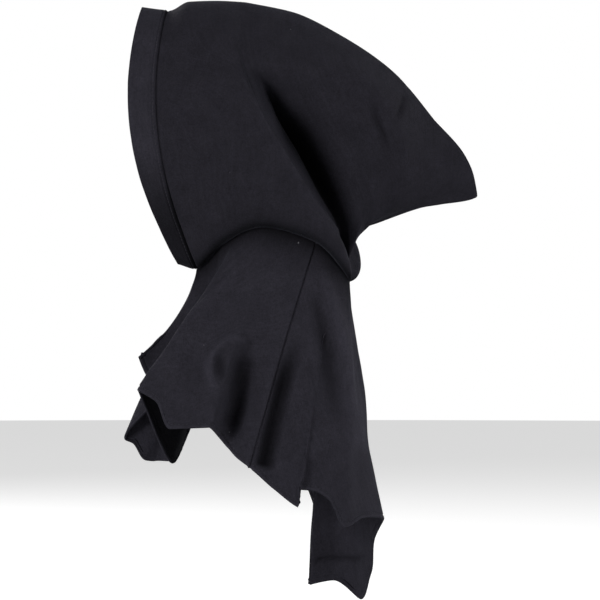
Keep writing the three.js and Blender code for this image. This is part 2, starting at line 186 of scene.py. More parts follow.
# The ribs of the cape run from the neck down to the hem, round from the throat by the wearer's left
FOLD_COLUMNS = ["neck", "hem_back", "hem_drop", "hem_side", "swell", "dent"]
FOLDS = {
    "front_corner": [0, -0.879, 0.259, 0.05, -0.15, 0.00],
    "front_left_edge": [0.07, -0.831, 0.315, -0.02, -0.14, 0.00],
    "front_left_dip": [0.13, -0.706, 0.367, -0.22, -0.12, 0.00],
    "pleat_inner": [0.19, -0.605, 0.480, -0.50, -0.10, 0.00],
    "pleat_point": [0.24, -0.664, 0.576, 0.21, -0.06, 0.00],
    "front_left_ridge": [0.33, -0.862, 0.352, 0.84, -0.02, 0.00],
    "left_lobe_top": [0.375, -0.738, 0.385, 0.98, 0.02, 0.00],
    "left_lobe": [0.42, -0.650, 0.464, 1.00, 0.05, 0.00],
    "left_lobe_end": [0.48, -0.404, 0.461, 0.98, 0.08, 0.00],
    "left_valley": [0.55, -0.355, 0.523, 0.88, 0.10, 0.12],
    "left_seam": [0.65, -0.160, 0.580, 0.92, 0.05, 0.02],
    "left_back_valley": [0.7, -0.010, 0.641, 0.92, 0.04, 0.05],
    "left_point": [0.75, 0.148, 0.695, 0.95, 0.03, 0.00],
    "left_notch": [0.78, 0.165, 0.645, 0.90, 0.05, 0.01],
    "left_notch_end": [0.8, 0.243, 0.648, 0.86, 0.05, 0.01],
    "back_left_slope": [0.82, 0.350, 0.676, 0.86, 0.04, 0.01],
    "back_left_corner": [0.86, 0.444, 0.757, 0.84, 0.02, 0.00],
    "back_left_turn": [0.90, 0.577, 0.732, 0.58, -0.02, 0.00],
    "back_ridge": [0.95, 0.750, 0.745, 0.25, -0.035, 0.05],
    "back_inner": [1, 0.700, 0.799, 0.07, -0.08, 0.05],
    "tail_side": [1.05, 0.622, 0.918, -0.15, -0.08, 0.00],
    "tail_point": [1.1, 0.564, 1.000, -0.37, -0.04, 0.00],
    "tail_middle": [1.15, 0.380, 0.946, -0.53, -0.02, 0.00],
    "tail_front": [1.2, 0.222, 0.960, -0.52, -0.10, 0.00],
    "tail_outer": [1.26, 0.310, 0.839, -0.80, 0.00, 0.00],
    "right_point": [1.33, 0.185, 0.645, -0.97, 0.03, 0.00],
    "right_seam": [1.4, -0.109, 0.543, -0.88, 0.05, 0.04],
    "right_lobe": [1.48, -0.365, 0.440, -0.98, 0.05, 0.00],
    "right_valley": [1.56, -0.600, 0.474, -0.92, 0.05, 0.06],
    "right_flap": [1.62, -0.645, 0.543, -0.93, 0.03, 0.03],
    "right_flap_point": [1.66, -0.690, 0.585, -0.74, 0.03, 0.00],
    "right_flap_front": [1.71, -0.800, 0.586, -0.93, 0.02, 0.00],
    "flap_edge": [1.735, -0.860, 0.583, -0.90, 0.03, 0.00],
    "flap_curl": [1.76, -0.942, 0.530, -0.86, 0.06, 0.00],
    "front_right_ridge": [1.78, -1.000, 0.515, -0.80, 0.09, 0.00],
    "front_right_dip": [1.9, -0.759, 0.362, -0.37, -0.13, 0.00],
}
# A rib's dent comes in between these shares of it
DENT_START = 0.42
DENT_FULL = 0.72

# Strokes press creases into the cloth and raise ridges on it. Each follows a line across the side view, as
# (back, up) places in millimetres, on the left side or the right one. Its height and the widths of its two
# sides, to the left and to the right of the way it runs, are in millimetres too. crisp is 1 for a sharp edge
# and 0 for a round one, and the fades are the shares of the line over which it comes and goes.
STROKE_COLUMNS = ["side", "height", "left_width", "right_width", "crisp", "fade_in", "fade_out", "line"]
HOOD_STROKES = {
    "fold_lip": ["left", 3.5, 5, 24, 0.7, 0.25, 0.05,
                 [(38, -76), (43, -93), (56, -132), (72, -161),
                  (82, -178), (102, -218), (122, -249), (135, -270)]],
    "peak_crease_low": ["left", -3.6, 5, 9, 0.4, 0.4, 0.5,
                        [(170, -110), (174, -135), (184, -160), (186, -184)]],
    "peak_crease_high": ["left", -3, 4, 8, 0.4, 0.5, 0.5,
                         [(203, -98), (206, -112), (200, -130), (190, -146)]],
}
CAPE_STROKES = {
    "front_ridge": ["left", 2.2, 4, 14, 0.7, 0.3, 0.05,
                    [(-4, -322), (-21, -341), (-38, -362), (-54, -382),
                     (-72, -408), (-86, -431), (-95, -444)]],
    "front_lap": ["left", -1.6, 4, 6, 0.4, 0.4, 0.3, [(30, -292), (5, -312), (-18, -334), (-40, -362)]],
    "swirl_ridge": ["left", 4.5, 8, 8, 0.3, 0.15, 0.15,
                    [(-3, -446), (-14, -432), (-15, -414), (-6, -397), (8, -387), (20, -388), (27, -400)]],
    "swirl_hollow": ["left", -5, 8, 9, 0.1, 0.4, 0.4, [(3, -398), (-3, -410), (-2, -424), (4, -438)]],
    "swirl_valley": ["left", -6.5, 12, 20, 0.15, 0.25, 0.25,
                     [(26, -394), (25, -412), (22, -436), (19, -462), (14, -482), (8, -505)]],
    "seam_valley": ["left", -12, 11, 17, 0.15, 0.5, 0.05,
                    [(90, -371), (82, -399), (72, -433), (61, -478), (54, -511), (49, -534)]],
    "back_ridge": ["left", 5, 14, 16, 0.2, 0.3, 0.1,
                   [(106, -300), (117, -332), (134, -388), (146, -455), (156, -520)]],
    "back_valley": ["left", -5, 12, 16, 0.2, 0.35, 0.3,
                    [(100, -312), (108, -343), (118, -393), (124, -438), (128, -490)]],
    "tail_crease": ["right", 5, 5, 8, 0.5, 0.2, 0.2,
                    [(102, -656), (110, -645), (133, -643), (154, -642), (168, -634)]],
}
# On the cape a stroke is full where the cloth faces its side by this much or more
FACING_FULL = 0.5

# The camera stands where the photograph's did, level and square to the hood's left side
VIEW_DISTANCE = 4.0
VIEW_WIDTH = 0.690
VIEW_MIDDLE = (0.0867, -0.343)
SENSOR = 36

# The floor lies below the hood, and glows a little for the camera alone
FLOOR_DROP = 0.10
FLOOR_RADIUS = 9.0
FLOOR_SIDES = 96
FLOOR_GREY = 0.5
FLOOR_GLOW = 0.6

# The wool
WOOL_COLOUR = (0.0195, 0.0185, 0.0245)
THREAD_COLOUR = (0.024, 0.023, 0.029)
FUZZ_PER_METRE = 620
CLUMPS_PER_METRE = 210
PATCHES_PER_METRE = 45
NAP_PER_METRE = 260
THREADS_PER_METRE = 1100
BUMP_HEIGHT = 0.0011
LINT_COLOUR = (0.20, 0.20, 0.22, 1)
LINT_CELLS_PER_METRE = 48
LINT_RADIUS = 0.0005
LINT_SHARE = 0.16
LINT_STRENGTH = 0.55

# How far each pattern swings the wool's tone to either side of 1, and the span of a noise that does so
FUZZ_SWING = 0.32
CLUMP_SWING = 0.14
PATCH_SWING = 0.1
NAP_SWING = 0.1
WEAVE_SWING = 0.05
TWIST_SWING = 0.3
NOISE_LOW = 0.3
NOISE_HIGH = 0.7
NAP_STRETCH = 0.06
WOOL_ROUGHNESS = (0.86, 0.98)

# The wool's tone at the most painted highlight and at the deepest painted shade
PAINTED_LIGHT_SPAN = (-1, 1.3)
PAINTED_LIGHT_TONES = (1.6, 0.1)

# The light: a dome that is brighter above, and round soft lamps with their place, their width and their watts
DOME_ABOVE = 0.18
DOME_BELOW = 0.02
LAMPS = {
    "key": [(2.9, -2.2, 0.5), 1.2, 112],
    "fill": [(1.8, 3.0, 0.0), 1.6, 58],
    "right_key": [(-2.9, -2.0, 1.3), 1.4, 95],
    "right_fill": [(-1.8, 3.0, 0.8), 1.6, 45],
    "front": [(0.2, -3.6, 0.9), 1.2, 14],
    "back": [(-0.3, 3.6, 1.2), 1.4, 30],
}
LAMP_TARGET = Vector((0.05, 0.07, -0.33))

# The lattice of the soft noise, and where each piece's draws start
NOISE_CELLS = 64
SEEDS = {"left": 3, "right": 11, "cape": 19}


def smooth_step(x):
    """Rises softly from 0 to 1 as x does"""
    t = np.clip(x, 0, 1)
    return t * t * (3 - 2 * t)


def smooth_curve(knots, values):
    """A smooth curve through values at rising knots, which never swings past them. A value may be a row."""
    knots = np.asarray(knots, float)
    values = np.asarray(values, float)
    columns = (1,) * (values.ndim - 1)
    widths = np.diff(knots).reshape(-1, *columns)
    slopes = np.diff(values, axis=0) / widths
    before = 2 * widths[1:] + widths[:-1]
    after = widths[1:] + 2 * widths[:-1]
    with np.errstate(divide="ignore", invalid="ignore"):
        inner = (before + after) / (before / slopes[:-1] + after / slopes[1:])
    inner = np.where(slopes[:-1] * slopes[1:] > 0, inner, 0)
    tangents = np.concatenate([slopes[:1], inner, slopes[-1:]])

    def at(places):
        places = np.atleast_1d(np.asarray(places, float))
        i = np.clip(np.searchsorted(knots, places) - 1, 0, len(knots) - 2)
        w = widths[i]
        t = (places - knots[i]).reshape(-1, *columns) / w
        return (values[i] * (1 + 2 * t) * (1 - t) ** 2 + tangents[i] * w * t * (1 - t) ** 2
                + values[i + 1] * t * t * (3 - 2 * t) + tangents[i + 1] * w * t * t * (t - 1))

    return at


def running(points):
    """Running distance along rows of points, from 0"""
    steps = np.linalg.norm(np.diff(points, axis=0), axis=-1)
    return np.concatenate([[0], np.cumsum(steps)])


def soft_noise(points, size, seed):
    """Smooth noise from -1 to 1 with bumps of about that size, alike in each run"""
    lattice = np.random.default_rng(seed).uniform(-1, 1, (NOISE_CELLS,) * 3)
    scaled = points / size
    low = np.floor(scaled).astype(int)
    t = scaled - low
    t = t * t * (3 - 2 * t)
    total = np.zeros(points.shape[:-1])
    for corner in itertools.product((0, 1), repeat=3):
        weight = np.prod(np.where(corner, t, 1 - t), axis=-1)
        cell = (low + corner) % NOISE_CELLS
        total += weight * lattice[cell[..., 0], cell[..., 1], cell[..., 2]]
    return total


def smooth_line(places):
    """A smooth line through places, as evenly spaced points"""
    places = np.asarray(places, float)
    run = running(places)
    ends = np.stack([2 * places[0] - places[1], 2 * places[-1] - places[-2]])
    padded = np.concatenate([ends[:1], places, ends[1:]])
    out = []
    for s in np.linspace(0, run[-1], STROKE_STEPS):
        i = min(int(np.searchsorted(run, s, side="right")) - 1, len(run) - 2)
        t = (s - run[i]) / (run[i + 1] - run[i])
        a, b, c, d = padded[i:i + 4]
        curved = (2 * a - 5 * b + 4 * c - d) * t * t + (3 * b - a - 3 * c + d) * t ** 3
        out.append(0.5 * (2 * b + (c - a) * t + curved))
    return np.array(out)


def stroke_height(places, stroke):
    """How far a stroke raises each of some places of the side view"""
    line = smooth_line(stroke["line"]) / 1000
    start, step = line[:-1], np.diff(line, axis=0)
    nearest = np.full(len(places), np.inf)
    across = np.zeros(len(places))
    along = np.zeros(len(places))
    for k in range(len(start)):
        offset = places - start[k]
        t = np.clip(offset @ step[k] / (step[k] @ step[k]), 0, 1)
        away = offset - t[:, None] * step[k]
        distance = np.hypot(away[:, 0], away[:, 1])
        closer = distance < nearest
        nearest = np.where(closer, distance, nearest)
        turn = step[k, 0] * offset[:, 1] - step[k, 1] * offset[:, 0]
        across = np.where(closer, turn, across)
        along = np.where(closer, (k + t) / len(start), along)
    width = np.where(across > 0, stroke["left_width"], stroke["right_width"]) / 1000
    q = np.minimum(nearest / width, 1)
    profile = (1 - stroke["crisp"]) * (1 - q * q) ** 2 + stroke["crisp"] * (1 - q) ** 2
    fade = smooth_step(along / stroke["fade_in"]) * smooth_step((1 - along) / stroke["fade_out"])
    return stroke["height"] / 1000 * profile * fade


def stroked(grid, normal, strokes, side):
    """A grid of points pushed along its normals by the strokes on its side, and the painted shade in their
    hollows and painted highlight on their ridges
    """
    places = grid[..., 1:].reshape(-1, 2)
    facing = normal[..., 0].ravel()
    out = np.zeros(len(places))
    for row in strokes.values():
        stroke = dict(zip(STROKE_COLUMNS, row))
        if side == "both":
            towards = facing if stroke["side"] == "left" else -facing
            out += stroke_height(places, stroke) * smooth_step(towards / FACING_FULL)
        elif side == stroke["side"]:
            out += stroke_height(places, stroke)
    out = out.reshape(grid.shape[:2])
    # A stroke's hollow gets painted shade and its ridge painted highlight, by its height
    return grid + normal * out[..., None], np.clip(-out / STROKE_SHADE_DEPTH, -STROKE_HIGHLIGHT_MOST, 1)


def foot_of(rib):
    """Where ribs of the hood stand on the neck"""
    x = rib["foot_side"] * NECK_HALF_WIDTH
    y = THROAT_Y + rib["foot_back"] * NECK_DEPTH
    z = THROAT_Z + rib["foot_rise"] * NECK_RISE
    return np.stack([x, y, z], axis=-1)


def rolled(v):
    """The quarter round in which the cloth rolls out over the crease"""
    return np.sqrt(1 - (1 - np.minimum(v / ROLL_TOP, 1)) ** 2)


def side_of_ribs(rib, v, foot_x):
    """How far ribs stand from the middle plane: they roll out over the crease and close in to the seam"""
    low, middle, upper, high = (rib[name] * HOOD_HALF_WIDTH for name in ("low", "middle", "upper", "high"))
    girth = smooth_curve(GIRTH_STATIONS, [foot_x, low, middle, upper, high, high])(v).T
    climb = np.maximum(0, (v - CROWN_START) / (1 - CROWN_START))
    above = girth * np.maximum(0, 1 - climb ** 2) ** (1 - rib["round"][:, None] / 2)
    below = foot_x[:, None] + (low - foot_x)[:, None] * rolled(v)
    return np.where(v < ROLL_TOP, below, above)


def points_on_ribs(rib, v):
    """Points of ribs, as a grid of ribs by shares of them, from the foot at 0 to the middle seam at 1"""
    foot = foot_of(rib)
    run = rib["top_back"] * HOOD_DEPTH - SEAT_BACK - foot[:, 1]
    rise = CROWN_Z - rib["top_drop"] * HOOD_DROP - foot[:, 2]
    length = np.hypot(run, rise)
    bend = (np.outer(rib["bend_low"], 3 * v * (1 - v) ** 2)
            + np.outer(rib["bend_high"], 3 * v * v * (1 - v))) * HOOD_DEPTH
    step = np.outer(rib["roll"] * NECK_DEPTH, rolled(v) * (1 - smooth_step((v - ROLL_TOP) / ROLL_FADE)))
    y = foot[:, 1, None] + np.outer(run, v) - bend * (rise / length)[:, None] + step
    z = foot[:, 2, None] + np.outer(rise, v) + bend * (run / length)[:, None]
    return np.stack([side_of_ribs(rib, v, foot[:, 0]), y, z], axis=-1)


def rows_as_columns(rows, names):
    """The columns of a table, by name"""
    return {name: np.array([row[i] for row in rows.values()], float) for i, name in enumerate(names)}


Panel = namedtuple("Panel", "at knots")
Cape = namedtuple("Cape", "at knots length")


def side_panel(shift):
    """A side panel's outer surface on the +X side, with the places of its ribs round it. Its nape fold is
    shifted back by that much."""
    ribs = rows_as_columns(RIBS, RIB_COLUMNS)
    order = list(RIBS)
    ribs["roll"][order.index("nape_fold")] += shift / NECK_DEPTH
    ribs["roll"][order.index("nape_tuck")] += shift / NECK_DEPTH / 2
    lines = points_on_ribs(ribs, np.array([0, 0.5, 1]))
    knots = np.mean([running(lines[:, k]) for k in range(3)], axis=0)
    curves = smooth_curve(knots, np.stack([ribs[name] for name in RIB_COLUMNS], axis=1))

    def at(u, v):
        values = curves(u)
        return points_on_ribs({name: values[:, i] for i, name in enumerate(RIB_COLUMNS)}, v)

    return Panel(at, dict(zip(order, knots)))


def half_neck(panel):
    """Half of the neck's ring on the +X side, from the middle of the throat to the nape, with its shares"""
    stations = np.linspace(panel.knots["band_seam"], panel.knots["nape_valley"], NECK_STEPS)
    feet = panel.at(stations, np.array([0.0]))[:, 0]
    points = np.concatenate([feet[:1] * (0, 1, 1), feet])
    run = running(points)
    return points, run / run[-1]


def whole_neck(left, right):
    """The ring of the neck by its share, 0 to 2"""
    left_points, left_shares = left
    right_points, right_shares = right
    points = np.concatenate([left_points, right_points[-2::-1] * MIRROR])
    shares = np.concatenate([left_shares, 2 - right_shares[-2::-1]])
    return lambda share: np.stack([np.interp(share, shares, points[:, k]) for k in range(3)], axis=-1)


def hem_of(fold):
    """Where ribs of the cape end on the hem"""
    x = fold["hem_side"] * CAPE_HALF_WIDTH
    y = NECK_MIDDLE_Y + fold["hem_back"] * CAPE_REACH
    z = THROAT_Z - fold["hem_drop"] * CAPE_DROP
    return np.stack([x, y, z], axis=-1)


def cape_surface(neck):
    """The cape's outer surface, round by places on its hem and down by shares of each rib"""
    names = list(FOLDS)
    # Rows from the table's other end close the ring smoothly
    before = {f"{name}_before": [FOLDS[name][0] - 2, *FOLDS[name][1:]] for name in names[-2:]}
    after = {f"{name}_after": [FOLDS[name][0] + 2, *FOLDS[name][1:]] for name in names[:3]}
    rows = rows_as_columns({**before, **FOLDS, **after}, FOLD_COLUMNS)
    run = running(hem_of(rows))
    knots = run - run[len(before)]
    length = knots[len(before) + len(FOLDS)]
    curves = smooth_curve(knots, np.stack([rows[name] for name in FOLD_COLUMNS], axis=1))

    def at(t, v):
        values = curves(np.mod(t, length))
        fold = {name: values[:, i] for i, name in enumerate(FOLD_COLUMNS)}
        top = neck(np.mod(fold["neck"], 2))[:, None]
        hem = hem_of(fold)[:, None]
        out = (hem - (0, NECK_MIDDLE_Y, 0)) * (1, 1, 0)
        out /= np.linalg.norm(out, axis=-1, keepdims=True)
        dent = fold["dent"][:, None] * smooth_step((v - DENT_START) / (DENT_FULL - DENT_START))
        middle = (top + hem) / 2 + out * fold["swell"][:, None, None] * CAPE_REACH
        w = v[..., None]
        return (top * (1 - w) ** 2 + middle * 2 * w * (1 - w) + hem * w * w
                - out * dent[..., None] * CAPE_REACH)

    return Cape(at, dict(zip(names, knots[len(before):])), length)


def normals_of(grid):
    """Unit normals of a grid of points, along the first direction crossed with the second"""
    along = np.gradient(grid, axis=0)
    up = np.gradient(grid, axis=1)
    normal = np.cross(along, up)
    return normal / np.maximum(np.linalg.norm(normal, axis=-1, keepdims=True), SHORTEST)


def with_fine_edges(low, high, step, fine_low, fine_high):
    """Stations between two places, closer together near the ends that are named fine"""
    edge = EDGE_STEP * np.arange(EDGE_ROWS)
    start = low + edge if fine_low else np.array([low])
    end = high - edge[::-1] if fine_high else np.array([high])
    count = max(2, round((end[0] - start[-1]) / step))
    return np.concatenate([start[:-1], np.linspace(start[-1], end[0], count + 1), end[1:]])


def with_ends(stations):
    """Stations with one more beyond each end, so that the normals at the ends are true"""
    return np.concatenate([[stations[0] - EDGE_STEP], stations, [stations[-1] + EDGE_STEP]])


def round_rim(outer, inner):
    """The rows that turn a wall's edge round, from its outer grid's last row to its inner grid's"""
    middle = (outer[:, -1] + inner[:, -1]) / 2
    half = (outer[:, -1] - inner[:, -1]) / 2
    ahead = outer[:, -1] + inner[:, -1] - outer[:, -2] - inner[:, -2]
    ahead *= np.linalg.norm(half, axis=1, keepdims=True) / np.linalg.norm(ahead, axis=1, keepdims=True)
    angles = [math.pi * k / RIM_STEPS for k in range(1, RIM_STEPS)]
    return np.stack([middle + half * math.cos(angle) + ahead * math.sin(angle) for angle in angles], axis=1)


def tube_faces(stations, around):
    """The faces of a flat tube of rings of points, closed at both ends"""
    ids = np.arange(stations * around).reshape(stations, around)
    a, b = ids[:-1], ids[1:]
    sides = np.stack([a, b, np.roll(b, -1, 1), np.roll(a, -1, 1)], axis=-1).reshape(-1, 4)
    low = np.arange(around // 2 - 1)
    high = around - 1 - low
    corners = (low, low + 1, high - 1, high)
    first, last = (np.stack([ring[corner] for corner in corners], axis=-1) for ring in (ids[0], ids[-1]))
    return np.concatenate([sides, first, last[:, ::-1]])


def wall(name, outer, inner, painted_light_and_seams, painted_light_inside, rim=None):
    """A closed wall of cloth between an outer and an inner grid, with the rows of a rim between their ends"""
    rows = [outer, inner[:, ::-1]] if rim is None else [outer, rim, inner[:, ::-1]]
    loops = np.concatenate(rows, axis=1)
    faces = tube_faces(*loops.shape[:2])
    # nap holds each point's painted shade and highlight and its darker seams, on the outer and the inner side
    nap = np.zeros(loops.shape[:2])
    nap[:, :outer.shape[1]] = painted_light_and_seams
    nap[:, -inner.shape[1]:] = painted_light_inside[:, ::-1]
    mesh = bpy.data.meshes.new(name)
    mesh.from_pydata(loops.reshape(-1, 3).tolist(), [], faces.tolist())
    lay_flat(mesh, loops, faces)
    layer = mesh.attributes.new("painted_light_and_seams", "FLOAT", "POINT")
    layer.data.foreach_set("value", nap.astype(np.float32).ravel())
    mesh.shade_smooth()
    return mesh


def lay_flat(mesh, loops, faces):
    """Gives a wall a map in metres, on which the cloth lies about as it was cut"""
    middle = len(loops) // 2
    down = running(loops[middle])
    across = np.stack([running(loops[:, j]) for j in range(loops.shape[1])], axis=1)
    across -= across[middle]
    flat = np.stack([across, np.broadcast_to(down, across.shape)], axis=-1).reshape(-1, 2)
    layer = mesh.uv_layers.new(name="cloth")
    layer.uv.foreach_set("vector", flat[faces.ravel()].astype(np.float32).ravel())


def mirrored(grid):
    """A grid mirrored in the middle plane, its stations turned round so that its faces still point out"""
    return grid[::-1] * MIRROR


def place(mesh, *nodes):
    """Puts a piece in the scene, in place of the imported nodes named"""
    piece = bpy.data.objects.new(mesh.name, mesh)
    bpy.context.scene.collection.objects.link(piece)
    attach(piece, "root")
    if nodes:
        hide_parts(*nodes)
    return piece


def pulled_in(distance):
    """How far cloth is pulled in at some distances from a seam"""
    return SEAM_SINK * (1 - np.minimum(distance / SEAM_WIDTH, 1)) ** 2


def stitched(distance):
    """How far cloth is pulled in at some distances from a row of stitches"""
    return STITCH_SINK * (1 - np.minimum(np.abs(distance) / STITCH_SPREAD, 1)) ** 2


def in_pocket(t, v, knots):
    """How deep in the front pleat the points of the cape are, from 0 outside it to 1"""
    point, ridge = knots["pleat_point"], knots["front_left_ridge"]
    start = point - (ridge - point)
    inside = smooth_step((t - start) / POCKET_SIDE) * smooth_step((ridge - t) / POCKET_SIDE)
    return inside[:, None] * smooth_step((v - POCKET_START) / POCKET_FADE)


def near(distance, reach):
    """1 in a crease, falling to 0 at its reach"""
    return (1 - np.clip(distance / reach, 0, 1)) ** 2


def uneven(points, seed):
    """How far the cloth's unevenness raises points"""
    return sum(height * soft_noise(points, size, seed + i) for i, (height, size) in enumerate(UNEVEN))


def in_fold(outer, stations, rows, knots):
    """How deep in the nape's fold the points of a side panel are, from 0 outside it to 1"""
    lip = outer[np.searchsorted(stations, knots["nape_fold"]), :, 0]
    depth = smooth_step((FOLD_MOUTH - outer[..., 0] / np.maximum(lip, CLOTH)) / FOLD_DEEP)
    inside = smooth_step((knots["peak_upper"] - stations) / (knots["peak_upper"] - knots["nape_rise"]))
    inside = inside * (stations > knots["nape_fold"])
    return depth * inside[:, None] * smooth_step((FOLD_TOP - rows) / FOLD_TOP_FADE)


def panel_surface(panel, side, kind, stations):
    """A side panel's outer grid, with its strokes, grooves and stitches, and its painted shade and highlight
    with its darker seams
    """
    seam = panel.knots["band_seam"]
    rows = 0.5 - 0.5 * np.cos(np.pi * np.arange(PANEL_ROWS + 1) / PANEL_ROWS)
    outer = panel.at(stations, rows)
    normal = normals_of(outer)
    length = np.linalg.norm(outer[:, -1] - outer[:, 0], axis=-1, keepdims=True)
    from_foot, to_middle = rows * length, (1 - rows) * length
    to_seam = (seam - stations if kind == "face_band" else stations - seam)[:, None]
    # Painted shade in the crease over the neck and above it, and the seams pressed darker
    painted_light_and_seams = CREASE_SHADE * near(from_foot, CREASE_ABOVE) + SEAM_NAP * near(to_seam, SEAM_WIDTH)
    calm = smooth_step(from_foot / CALM_REACH) * smooth_step(to_middle / CALM_REACH)
    sink = pulled_in(to_seam) + pulled_in(to_middle) - calm * uneven(outer, SEEDS[side])
    if kind == "hood":
        # Painted shade deep in the nape's fold and a little over the whole hood
        painted_light_and_seams += in_fold(outer, stations, rows, panel.knots) + HOOD_SHADE
        outer, stroke_shade_and_highlight = stroked(outer, normal, HOOD_STROKES, side)
        painted_light_and_seams += stroke_shade_and_highlight
    else:
        # Painted shade on the band's lower part, and a painted highlight over the whole band
        painted_light_and_seams += BAND_UNDER_SHADE * smooth_step((BAND_UNDER_TOP - from_foot) / BAND_UNDER_FADE) - BAND_HIGHLIGHT
        sink -= BAND_PROUD * smooth_step((stations - stations[0]) / seam)[:, None]
        sink += stitched(to_seam - STITCH_ROW * EDGE_STEP)
    return outer - normal * sink[..., None], painted_light_and_seams


def panel_wall(panel, side, kind, stations, cloth):
    """The band or the body of one side of the hood, with the line and the normals of its stitches"""
    stations = with_ends(stations)
    outer, painted_light_and_seams = panel_surface(panel, side, kind, stations)
    normal = normals_of(outer)
    least = np.maximum(0, cloth * normal[..., 0]) - MIDDLE_LAP
    outer[..., 0] = np.maximum(outer[..., 0], least)
    back = normal.copy()
    if kind == "hood":
        # Round the crease the foot's inner edge lies straight below its outer one
        back[stations < panel.knots["nape_valley"], 0] = (0, 0, 1)
    inner = outer - back * cloth
    inner[..., 0] = np.maximum(inner[..., 0], -MIDDLE_LAP)
    outer, inner, normal, painted_light_and_seams = (grid[1:-1] for grid in (outer, inner, normal, painted_light_and_seams))
    row = [grid[-1 - STITCH_ROW, STITCH_START:] for grid in (outer, normal)]
    if side == "right":
        outer, inner, painted_light_and_seams = mirrored(outer), mirrored(inner), painted_light_and_seams[::-1]
        row = [line * MIRROR for line in row]
    return wall(f"{kind}_cloth_{side}", outer, inner, painted_light_and_seams, np.zeros_like(painted_light_and_seams)), *row


def panel_walls(panel, side):
    """The band and the body of one side of the hood, by kind"""
    seam = panel.knots["band_seam"]
    band = with_fine_edges(panel.knots["face_edge"], seam + SEAM_LAP, PANEL_STEP, True, True)
    body = with_fine_edges(seam + SEAM_GAP, panel.knots["peak_root"], PANEL_STEP, True, False)
    return {
        "face_band": panel_wall(panel, side, "face_band", band, BAND_CLOTH),
        "hood": panel_wall(panel, side, "hood", body, CLOTH),
    }


def rows_to_hem(lengths):
    """The rows down ribs of the cape, as shares of them, closer together beside the hem"""
    edge = (HEM_CLOTH / 2 + EDGE_STEP * np.arange(EDGE_ROWS))[::-1] / lengths
    body = np.linspace(0, 1, CAPE_ROWS)[None, :-1] * (1 - edge[:, :1])
    return np.concatenate([body, 1 - edge], axis=1)


def cape_wall(name, cape, start, end, lap):
    """A panel of the cape between two places on its hem, with the line and the normals of its stitches"""
    t = with_ends(with_fine_edges(start - lap, end + lap, CAPE_STEP, True, True))
    ribs = cape.at(t, np.linspace(0, 1, MEASURE_STEPS)[None])
    lengths = np.array([running(rib)[-1] for rib in ribs])[:, None]
    v = rows_to_hem(lengths)
    outer = cape.at(t, v)
    normal = -normals_of(outer)
    from_neck, to_hem = v * lengths, (1 - v) * lengths
    to_seam = np.minimum(t - start, end - t)[:, None]
    outer, stroke_shade_and_highlight = stroked(outer, normal, CAPE_STROKES, "both")
    # Painted shade inside the front pleat, fading out at the hem
    pocket_shade = POCKET_SHADE * in_pocket(np.mod(t, cape.length), v, cape.knots) * smooth_step(to_hem / POCKET_HEM)
    # Painted shade below the crease over the neck and darker seams, then the strokes' painted shade and
    # highlight and a painted highlight along the hem
    painted_light_and_seams = CREASE_SHADE * near(from_neck, CREASE_BELOW) + SEAM_NAP * near(to_seam, SEAM_WIDTH)
    painted_light_and_seams += stroke_shade_and_highlight - HEM_HIGHLIGHT * near(to_hem, HEM_HIGHLIGHT_REACH) + pocket_shade
    sink = pulled_in(to_seam) + stitched(to_hem - HEM_CLOTH / 2 - STITCH_ROW * EDGE_STEP)
    sink -= smooth_step(from_neck / CALM_REACH) * uneven(outer, SEEDS["cape"])
    outer = outer - normal * sink[..., None]
    normal = -normals_of(outer)
    thick = CLOTH + (HEM_CLOTH - CLOTH) * smooth_step(1 - to_hem / HEM_TURN)
    inner = outer - normal * thick[..., None]
    row = [grid[1:-1, -1 - STITCH_ROW] for grid in (outer, normal)]
    outer, inner, painted_light_and_seams, inside = (grid[-2:0:-1] for grid in (outer, inner, painted_light_and_seams, pocket_shade - stroke_shade_and_highlight))
    return wall(name, outer, inner, painted_light_and_seams, inside, round_rim(outer, inner)), *row


def spindle_faces():
    """The faces of one stitch: rings of points, then the point at its start and the one at its end"""
    last = (len(STITCH_RINGS) - 1) * STITCH_SIDES
    start, end = last + STITCH_SIDES, last + STITCH_SIDES + 1
    faces = []
    for a in range(STITCH_SIDES):
        b = (a + 1) % STITCH_SIDES
        faces.append((start, b, a))
        for ring in range(0, last, STITCH_SIDES):
            faces.append((a + ring, b + ring, b + ring + STITCH_SIDES, a + ring + STITCH_SIDES))
        faces.append((a + last, b + last, end))
    return faces


def stitches(name, line, normals):
    """A row of running stitches along a line, as one joined mesh"""
    run = running(line)

    def at(place_on_line, rows):
        return np.array([np.interp(place_on_line, run, rows[:, k]) for k in range(3)])

    turns = [2 * math.pi * k / STITCH_SIDES for k in range(STITCH_SIDES)]
    faces_of_one = spindle_faces()
    vertices, faces = [], []
    for place_on_line in np.arange(STITCH_PITCH, run[-1] - STITCH_PITCH, STITCH_PITCH):
        low = at(place_on_line - STITCH_LENGTH / 2, line)
        high = at(place_on_line + STITCH_LENGTH / 2, line)
        middle, axis = (low + high) / 2, (high - low) / 2
        up = at(place_on_line, normals)
        up /= np.linalg.norm(up)
        out = np.cross(axis, up)
        out /= np.linalg.norm(out)
        faces += [tuple(len(vertices) + corner for corner in face) for face in faces_of_one]
        for share, swell in STITCH_RINGS:
            for turn in turns:
                aside = (up * math.cos(turn) + out * math.sin(turn)) * STITCH_RADIUS * swell
                vertices.append(middle + axis * share + aside + up * STITCH_RADIUS * STITCH_LIFT)
        vertices += [middle - axis, middle + axis]
    mesh = bpy.data.meshes.new(name)
    mesh.from_pydata([tuple(vertex) for vertex in vertices], [], faces)
    mesh.shade_smooth()
    return mesh


